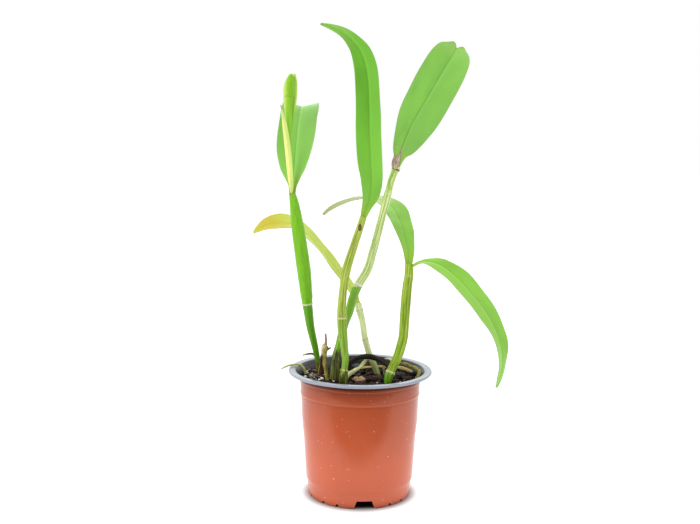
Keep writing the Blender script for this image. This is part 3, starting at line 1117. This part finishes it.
class ORCHID_OT_camera(bpy.types.Operator):
    """Add the camera at the photograph's height, distance and tilt"""
    bl_idname = "orchid.camera"
    bl_label = "Camera"

    def execute(self, context):
        data = bpy.data.cameras.new("camera")
        data.lens = CAMERA_LENS
        data.sensor_width = CAMERA_SENSOR
        camera = bpy.data.objects.new("camera", data)
        context.scene.collection.objects.link(camera)
        camera.matrix_world = (
            Matrix.Translation(CAMERA_PLACE) @ Matrix.Rotation(CAMERA_LEFT, 4, 'Z')
            @ Matrix.Rotation(math.pi / 2 - CAMERA_DOWN, 4, 'X') @ Matrix.Rotation(CAMERA_ROLL, 4, 'Z'))
        context.scene.camera = camera
        return {'FINISHED'}


class ORCHID_OT_stage(bpy.types.Operator):
    """Add the plain pale floor and the soft studio light"""
    bl_idname = "orchid.stage"
    bl_label = "Stage and light"

    def execute(self, context):
        settings = context.scene.orchid_stage
        self.add_floor(settings)
        self.add_flag()
        self.add_surroundings(context, settings)
        self.add_lights(settings)
        context.scene.view_settings.view_transform = 'Standard'
        return {'FINISHED'}

    def stage_piece(self, name, shape, finish):
        """Turn a bmesh in metres into a linked object with its finish."""
        mesh = bpy.data.meshes.new(name)
        shape.to_mesh(mesh)
        shape.free()
        mesh.materials.append(finish)
        piece = bpy.data.objects.new(name, mesh)
        bpy.context.scene.collection.objects.link(piece)
        return piece

    def add_floor(self, settings):
        """A wide pale floor that glows softly, but not close round the pot's foot."""
        finish, tree, shader = new_finish("floor_finish", 0.6)
        speckle = noise(tree, object_place(tree), scale=3.0, detail=2.0)
        pale = tuple(settings.floor_colour)
        shade = blend_colour(tree, spread(tree, speckle, 0.3, 0.7), tint(pale, 0.985), pale)
        place = object_place(tree)
        across = reckon(tree, 'POWER', part_of(tree, place, "X"), 2.0)
        deep = reckon(tree, 'POWER', part_of(tree, place, "Y"), 2.0)
        away = reckon(tree, 'SQRT', reckon(tree, 'ADD', across, deep))
        shade = blend_colour(tree, spread(tree, away, *SHADE_FADE, 1.0, 0.0), shade, (0.03, 0.02, 0.02))
        tree.links.new(shade, shader.inputs["Base Color"])
        shader.inputs["Emission Color"].default_value = (1.0, 1.0, 1.0, 1.0)
        glow = spread(tree, away, *GLOW_FADE, 0.0, settings.floor_glow)
        tree.links.new(glow, shader.inputs["Emission Strength"])
        shape = bmesh.new()
        bmesh.ops.create_circle(shape, cap_ends=True, segments=96, radius=FLOOR_RADIUS)
        floor = self.stage_piece("floor", shape, finish)
        floor.location.z = -FLOOR_DROP

    def add_flag(self):
        """A dark studio card that lies in front of the pot and is only seen in reflections."""
        finish, tree, shader = new_finish("flag_finish", 0.9)
        weave = noise(tree, object_place(tree), scale=40.0)
        shade = blend_colour(
            tree, spread(tree, weave, 0.3, 0.7), (0.010, 0.010, 0.010), (0.016, 0.016, 0.016))
        tree.links.new(shade, shader.inputs["Base Color"])
        shape = bmesh.new()
        bmesh.ops.create_grid(shape, x_segments=1, y_segments=1, size=0.5)
        bmesh.ops.scale(shape, vec=(FLAG_WIDTH, FLAG_DEPTH, 1.0), verts=shape.verts)
        bmesh.ops.translate(shape, vec=FLAG_MIDDLE, verts=shape.verts)
        flag = self.stage_piece("front_flag", shape, finish)
        flag.visible_camera = False
        flag.visible_diffuse = False
        flag.visible_transmission = False
        flag.visible_shadow = False

    def add_surroundings(self, context, settings):
        """White all round, with a dim patch high in front of the pot."""
        world = bpy.data.worlds.new("surroundings")
        context.scene.world = world
        world.use_nodes = True
        tree = world.node_tree
        back = tree.nodes["Background"]
        way = tree.nodes.new("ShaderNodeTexCoord").outputs["Generated"]
        front = spread(tree, part_of(tree, way, "Y"), -0.95, -0.55, 1.0, 0.0)
        above = spread(tree, part_of(tree, way, "Z"), 0.02, 0.22)
        dim = reckon(tree, 'MULTIPLY', front, above)
        shade = blend_colour(tree, dim, (1.0, 1.0, 1.0), (0.12, 0.12, 0.12))
        tree.links.new(shade, back.inputs["Color"])
        back.inputs["Strength"].default_value = settings.sky_strength

    def add_lights(self, settings):
        """The large soft lights, which the camera doesn't see."""
        for name, (place, size, share) in LIGHTS.items():
            data = bpy.data.lights.new(name, 'AREA')
            data.size = size
            data.energy = settings.key_power * share
            light = bpy.data.objects.new(name, data)
            light.location = place
            light.rotation_mode = 'QUATERNION'
            light.rotation_quaternion = (Vector(LIGHT_AIM) - Vector(place)).to_track_quat('-Z', 'Y')
            light.visible_camera = False
            light.visible_glossy = name != "key_light"
            bpy.context.scene.collection.objects.link(light)


class ORCHID_OT_pot(bpy.types.Operator):
    """Add the two-tone nursery pot with its ridges and drainage notches"""
    bl_idname = "orchid.pot"
    bl_label = "Pot"

    def execute(self, context):
        settings = context.scene.orchid_pot
        underside = [
            (0.0, 0.0), (PAD_RADIUS - 0.4, 0.0), (PAD_RADIUS, 0.4), (PAD_RADIUS + 0.8, FLOOR_UNDERSIDE),
            (FOOT_INNER_RADIUS - 1.2, FLOOR_UNDERSIDE), (FOOT_INNER_RADIUS - 0.1, 0.4),
            (FOOT_INNER_RADIUS + 0.4, 0.0)]
        profile = underside + OUTER_WALL + INNER_WALL + [(0.0, FLOOR_TOP)]
        shape = turned(profile, POT_STEPS)
        middles = [((a[0] + b[0]) / 2, (a[1] + b[1]) / 2) for a, b in zip(profile, profile[1:])]
        rim_first = profile.index(RIM_FIRST)
        rim_last = profile.index(RIM_LAST)
        for face in shape.faces:
            middle = face.calc_center_median()
            spot = (math.hypot(middle.x, middle.y), middle.z)
            stretch_number = min(range(len(middles)), key=lambda number: math.dist(middles[number], spot))
            if rim_first <= stretch_number < rim_last:
                face.material_index = 1
            elif stretch_number >= rim_last:
                face.material_index = 2
        finishes = [
            plastic_finish("pot_wall_finish", settings.wall_colour, settings.roughness, True),
            plastic_finish("pot_rim_finish", settings.rim_colour, settings.roughness, False),
            plastic_finish("pot_lining_finish", settings.lining_colour, settings.roughness + 0.1, False),
        ]
        pot = add_piece("nursery_pot", shape, finishes, node="pot")
        cutter = bmesh.new()
        for wide in range(WIDE_NOTCHES):
            start = WIDE_NOTCH_FIRST + wide * math.tau / WIDE_NOTCHES
            wedge(cutter, start, *WIDE_NOTCH)
            for turn in SMALL_NOTCH_ANGLES:
                wedge(cutter, start + math.radians(turn), *SMALL_NOTCH)
        for hole in range(FLOOR_HOLES):
            angle = hole * math.tau / FLOOR_HOLES
            place = Matrix.Translation((
                FLOOR_HOLE_CIRCLE * math.cos(angle), FLOOR_HOLE_CIRCLE * math.sin(angle), FLOOR_TOP))
            bmesh.ops.create_cone(
                cutter, cap_ends=True, segments=FLOOR_HOLE_SIDES, radius1=FLOOR_HOLE_RADIUS,
                radius2=FLOOR_HOLE_RADIUS, depth=FLOOR_HOLE_CUT, matrix=place)
        cut_away(pot, cutter)
        return {'FINISHED'}


class ORCHID_OT_mix(bpy.types.Operator):
    """Add the bark mix with its loose chips"""
    bl_idname = "orchid.mix"
    bl_label = "Bark mix"

    def execute(self, context):
        settings = context.scene.orchid_mix
        draw = random.Random(settings.seed)
        bottom = FLOOR_TOP + MIX_GAP
        side = [
            (radius - MIX_GAP, max(height, bottom)) for radius, height in reversed(INNER_WALL)
            if height < MIX_SIDE_TOP]
        rings = [(MIX_EDGE - MIX_GAP, MIX_SIDE_TOP)] + [(radius, MIX_LEVEL) for radius in MIX_RINGS]
        shape = turned([(0.0, bottom)] + side + rings + [(0.0, MIX_LEVEL)], MIX_STEPS)
        tone = shape.verts.layers.float.new("tone")
        for vertex in shape.verts:
            if vertex.co.z > MIX_LEVEL - 0.01:
                vertex.co.z = mix_height(vertex.co.x, vertex.co.y) - MIX_SINK + draw.uniform(-0.8, 0.8)
            vertex[tone] = draw.uniform(0.0, 0.3)
        for number in range(settings.chips):
            reach = CHIP_SPREAD * math.sqrt((number + 0.5) / settings.chips)
            self.add_chip(shape, tone, draw, settings.chip_length / MM, reach, number * GOLDEN_ANGLE)
        add_piece("bark_mix", shape, [bark_finish(settings)], node="potting_mix")
        return {'FINISHED'}

    def add_chip(self, shape, tone, draw, longest, reach, turn):
        """One broken flake of bark with bevelled edges, lying on the mix."""
        small = draw.random() ** 1.6
        length = longest * (0.95 - 0.72 * small)
        width = length * draw.uniform(0.45, 0.75)
        height = min(CHIP_HIGHEST, length * draw.uniform(0.25, 0.42))
        reach = min(reach, CHIP_LIMIT - math.hypot(length, width) / 2)
        x = reach * math.cos(turn)
        y = reach * math.sin(turn)
        made = bmesh.ops.create_cube(shape, size=1.0)
        verts = made["verts"]
        for vertex in verts:
            vertex.co.x *= length * draw.uniform(0.70, 1.0)
            vertex.co.y *= width * draw.uniform(0.65, 1.0)
            vertex.co.z *= height * draw.uniform(0.65, 1.0)
        edges = list({edge for vertex in verts for edge in vertex.link_edges})
        made = bmesh.ops.bevel(
            shape, geom=edges, offset=0.16 * height, offset_type='OFFSET', affect='EDGES', segments=1,
            profile=0.5, material=-1)
        bevelled = {vertex for face in made["faces"] for vertex in face.verts}
        verts = list(bevelled | {vertex for vertex in verts if vertex.is_valid})
        lean = Matrix.Rotation(draw.gauss(0.0, 0.45), 3, 'X')
        lean = lean @ Matrix.Rotation(draw.gauss(0.0, 0.30), 3, 'Y')
        spin = Matrix.Rotation(draw.uniform(0.0, math.tau), 3, 'Z')
        bmesh.ops.rotate(shape, cent=(0, 0, 0), matrix=spin @ lean, verts=verts)
        lift = mix_height(x, y) - 1.2 + 0.25 * height + draw.uniform(-1.3, 1.2)
        bmesh.ops.translate(shape, vec=(x, y, lift), verts=verts)
        own_tone = draw.random() * 0.85
        for vertex in verts:
            vertex[tone] = own_tone


class ORCHID_OT_loose_bits(bpy.types.Operator):
    """Add the single chips, the white grains and the fine dead roots that lie on the mix"""
    bl_idname = "orchid.loose_bits"
    bl_label = "Loose bits"

    def execute(self, context):
        draw = random.Random(LOOSE_SEED)
        self.add_grains(draw)
        self.add_threads(draw)
        for name, plan in SINGLE_CHIPS.items():
            self.add_single_chip(name, plan, draw)
        return {'FINISHED'}

    def add_grains(self, draw):
        """White porous grains, each a ball with five flattened sides."""
        grains = bmesh.new()
        for x, y, size in WHITE_GRAINS:
            made = bmesh.ops.create_icosphere(grains, subdivisions=3, radius=size)
            pull = [Vector([draw.gauss(0.0, 1.0) for _ in range(3)]).normalized() for _ in range(5)]
            for vertex in made["verts"]:
                way = vertex.co.normalized()
                flat = sum(max(0.0, way.dot(side) - 0.45) for side in pull)
                vertex.co *= 1.0 - 0.45 * flat
                vertex.co.z *= 0.75
            bmesh.ops.translate(grains, vec=(x, y, mix_height(x, y) + 1.2), verts=made["verts"])
        finish, tree, shader = new_finish("white_grain_finish", 0.85)
        pores = noise(tree, object_place(tree), scale=900.0, detail=3.0)
        shade = blend_colour(tree, spread(tree, pores, 0.35, 0.65), (0.58, 0.55, 0.48), (0.86, 0.85, 0.80))
        tree.links.new(shade, shader.inputs["Base Color"])
        relief(tree, shader, pores, 0.0003, 0.8)
        add_piece("white_grains", grains, [finish])

    def add_threads(self, draw):
        """Fine dead roots that wander over the mix at the left."""
        threads = bmesh.new()
        for number in range(THREADS):
            x = draw.uniform(-46.0, -35.0)
            y = draw.uniform(-16.0, 22.0)
            heading = draw.uniform(0.0, math.tau)
            knots = []
            for _ in range(THREAD_STEPS):
                away = math.hypot(x, y)
                if away > THREAD_LIMIT:
                    x *= THREAD_LIMIT / away
                    y *= THREAD_LIMIT / away
                knots.append((x, y, mix_height(x, y) + draw.uniform(0.6, 3.2), THREAD_RADIUS))
                heading += draw.uniform(-1.2, 1.2)
                x += THREAD_STEP * math.cos(heading)
                y += THREAD_STEP * math.sin(heading)
            grow_tube(threads, knots, corners=7, per_span=4, seed=number)
        finish = root_finish("fine_root_finish", ((0.74, 0.72, 0.62), (0.36, 0.30, 0.22)))
        add_piece("fine_roots", threads, [finish])

    def add_single_chip(self, name, plan, draw):
        """One rounded chip with a groove across its top."""
        x, y, lift, length, width, height, turn, first, second = plan
        shape = bmesh.new()
        made = bmesh.ops.create_icosphere(shape, subdivisions=4, radius=0.5)
        phase = draw.uniform(0.0, math.tau)
        for vertex in made["verts"]:
            way = vertex.co.normalized()
            rough = 1.0 + 0.10 * math.sin(5.0 * way.x + phase) * math.cos(4.0 * way.y + 2 * phase)
            rough -= 0.30 * math.exp(-((way.x - 0.1) / 0.25) ** 2) * max(0.0, way.z)
            vertex.co = Vector((way.x * length / 2, way.y * width / 2, way.z * height / 2)) * rough
        spin = Matrix.Rotation(math.radians(turn), 3, 'Z')
        bmesh.ops.rotate(shape, cent=(0, 0, 0), matrix=spin, verts=shape.verts)
        bmesh.ops.translate(shape, vec=(x, y, mix_height(x, y) + lift), verts=shape.verts)
        add_piece(name, shape, [chip_finish(name + "_finish", first, second)])


class ORCHID_OT_bulbs(bpy.types.Operator):
    """Add the five pseudobulbs and the spent shoot"""
    bl_idname = "orchid.bulbs"
    bl_label = "Pseudobulbs"

    def execute(self, context):
        for number, (node, plan) in enumerate(BULBS.items()):
            shape = bmesh.new()
            grow_tube(
                shape, plan["knots"], corners=54, per_span=14, joints=plan["joints"], ribs=plan["ribs"],
                depth=plan["depth"], lumps=0.02, seed=number)
            finish = bulb_finish(node + "_finish", SKINS[node])
            add_piece(node + "_skin", shape, [finish], node=node)
        shape = bmesh.new()
        grow_tube(shape, SPENT_SHOOT, corners=26, per_span=10, ribs=7, depth=0.18, lumps=0.06, seed=31)
        grow_tube(shape, SPENT_SPUR, corners=12, per_span=6, lumps=0.1, seed=32)
        add_piece("spent_shoot_husk", shape, [husk_finish()], node="spent_shoot")
        return {'FINISHED'}


class ORCHID_OT_leaves(bpy.types.Operator):
    """Add the six leaves, the flower sheath and the dried sheath"""
    bl_idname = "orchid.leaves"
    bl_label = "Leaves and sheaths"

    def execute(self, context):
        settings = context.scene.orchid_plant
        fresh = tuple(settings.fresh_leaf)
        deep = tuple(settings.deep_leaf)
        broad = tuple(settings.broad_leaf)
        bright = tuple(settings.bright_leaf)
        old = tuple(settings.yellowing_leaf)
        pale = tuple(settings.sheath_colour)
        finishes = {
            "fresh": leaf_finish("young_leaf_finish", fresh, 0.35, 0.25, young=0.6),
            "deep": leaf_finish("front_leaf_finish", deep, 0.60, 0.04, young=0.5),
            "shaded": leaf_finish("rear_leaf_finish", tint(bright, 0.94), 0.05, 0.15, dull=0.8),
            "broad": leaf_finish("broad_leaf_finish", broad, 0.45, 0.35),
            "bright": leaf_finish("side_leaf_finish", bright, 0.55, 0.20),
            "yellowing": leaf_finish("old_leaf_finish", old, 0.2, 0.2, yellow_from=0.50),
            "sheath": leaf_finish("flower_sheath_finish", pale, 0.0, 0.0, sheath=True),
        }
        scraps = bmesh.new()
        for number, plan in enumerate(DRIED_SCRAPS):
            grow_blade(scraps, plan, 0.35, 0.0, 0.35, face_corners=11, per_span=8, seed=80 + number)
        add_piece("dried_sheath_scraps", scraps, [scrap_finish()], node="dried_sheath")
        for number, (node, plan) in enumerate(BLADES.items()):
            thin = plan["skin"] == "sheath"
            thickness = settings.blade_thickness / MM * (0.5 if thin else 1.0)
            groove = 0.0 if thin else settings.midrib_groove / MM
            shape = bmesh.new()
            grow_blade(shape, plan, thickness, groove, settings.edge_wave / MM, seed=40 + number)
            add_piece(node + "_blade", shape, [finishes[plan["skin"]]], node=node)
        return {'FINISHED'}


class ORCHID_OT_buds(bpy.types.Operator):
    """Add the flower stalk with its two buds"""
    bl_idname = "orchid.buds"
    bl_label = "Flower buds"

    def execute(self, context):
        colour = tuple(context.scene.orchid_plant.bud_colour)
        shape = bmesh.new()
        grow_tube(shape, FRONT_BUD, corners=40, per_span=10, ribs=3, depth=0.10, lumps=0.01, seed=51)
        grow_tube(shape, REAR_BUD, corners=40, per_span=10, ribs=3, depth=0.12, lumps=0.01, seed=52)
        add_piece("flower_bud_pair", shape, [bud_finish(colour)], node="flower_buds")
        return {'FINISHED'}


class ORCHID_OT_roots(bpy.types.Operator):
    """Add the rhizome and the roots above the mix"""
    bl_idname = "orchid.roots"
    bl_label = "Rhizome and roots"

    def execute(self, context):
        shape = bmesh.new()
        for number, knots in enumerate(RHIZOME_LINES.values()):
            grow_tube(
                shape, knots, corners=24, per_span=12, ribs=5, depth=0.18, lumps=0.16, seed=60 + number)
        finish = root_finish("rhizome_finish", ROOT_COLOURS["dark"], 1.0, 0.6)
        add_piece("rhizome_bark", shape, [finish], node="rhizome")
        finishes = {
            tone: root_finish("root_finish_" + tone, ROOT_COLOURS[tone], 0.8)
            for tone in ("pale", "fresh", "white", "tan", "olive")}
        for number, (node, (tone, knots)) in enumerate(ROOTS.items()):
            shape = bmesh.new()
            grow_tube(shape, knots, corners=16, per_span=10, lumps=0.20, seed=70 + number)
            add_piece(node + "_skin", shape, [finishes[tone]], node=node)
        return {'FINISHED'}


class ORCHID_PT_panel(bpy.types.Panel):
    """Lists the orchid's pieces and their settings"""
    bl_idname = "ORCHID_PT_panel"
    bl_label = "Potted Orchid"
    bl_space_type = 'VIEW_3D'
    bl_region_type = 'UI'
    bl_category = "Orchid"

    def draw(self, context):
        layout = self.layout
        for name in ("orchid_pot", "orchid_mix", "orchid_plant", "orchid_stage"):
            settings = getattr(context.scene, name)
            box = layout.box()
            for prop in settings.bl_rna.properties:
                if prop.identifier not in {"rna_type", "name"}:
                    box.prop(settings, prop.identifier)
        for operator in OPERATORS:
            layout.operator(operator.bl_idname)


SETTINGS = {
    "orchid_pot": OrchidPotSettings,
    "orchid_mix": OrchidMixSettings,
    "orchid_plant": OrchidPlantSettings,
    "orchid_stage": OrchidStageSettings,
}
OPERATORS = (
    ORCHID_OT_camera, ORCHID_OT_stage, ORCHID_OT_pot, ORCHID_OT_mix, ORCHID_OT_loose_bits, ORCHID_OT_roots,
    ORCHID_OT_bulbs, ORCHID_OT_leaves, ORCHID_OT_buds,
)


def register():
    for name, settings in SETTINGS.items():
        bpy.utils.register_class(settings)
        setattr(bpy.types.Scene, name, PointerProperty(type=settings))
    for operator in OPERATORS:
        bpy.utils.register_class(operator)
    bpy.utils.register_class(ORCHID_PT_panel)


def unregister():
    bpy.utils.unregister_class(ORCHID_PT_panel)
    for operator in reversed(OPERATORS):
        bpy.utils.unregister_class(operator)
    for name, settings in SETTINGS.items():
        delattr(bpy.types.Scene, name)
        bpy.utils.unregister_class(settings)


def main():
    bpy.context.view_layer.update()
    register()
    bpy.ops.orchid.camera()
    bpy.ops.orchid.stage()
    bpy.ops.orchid.pot()
    bpy.ops.orchid.mix()
    bpy.ops.orchid.loose_bits()
    bpy.ops.orchid.roots()
    bpy.ops.orchid.bulbs()
    bpy.ops.orchid.leaves()
    bpy.ops.orchid.buds()
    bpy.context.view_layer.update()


if __name__ == "__main__":
    main()
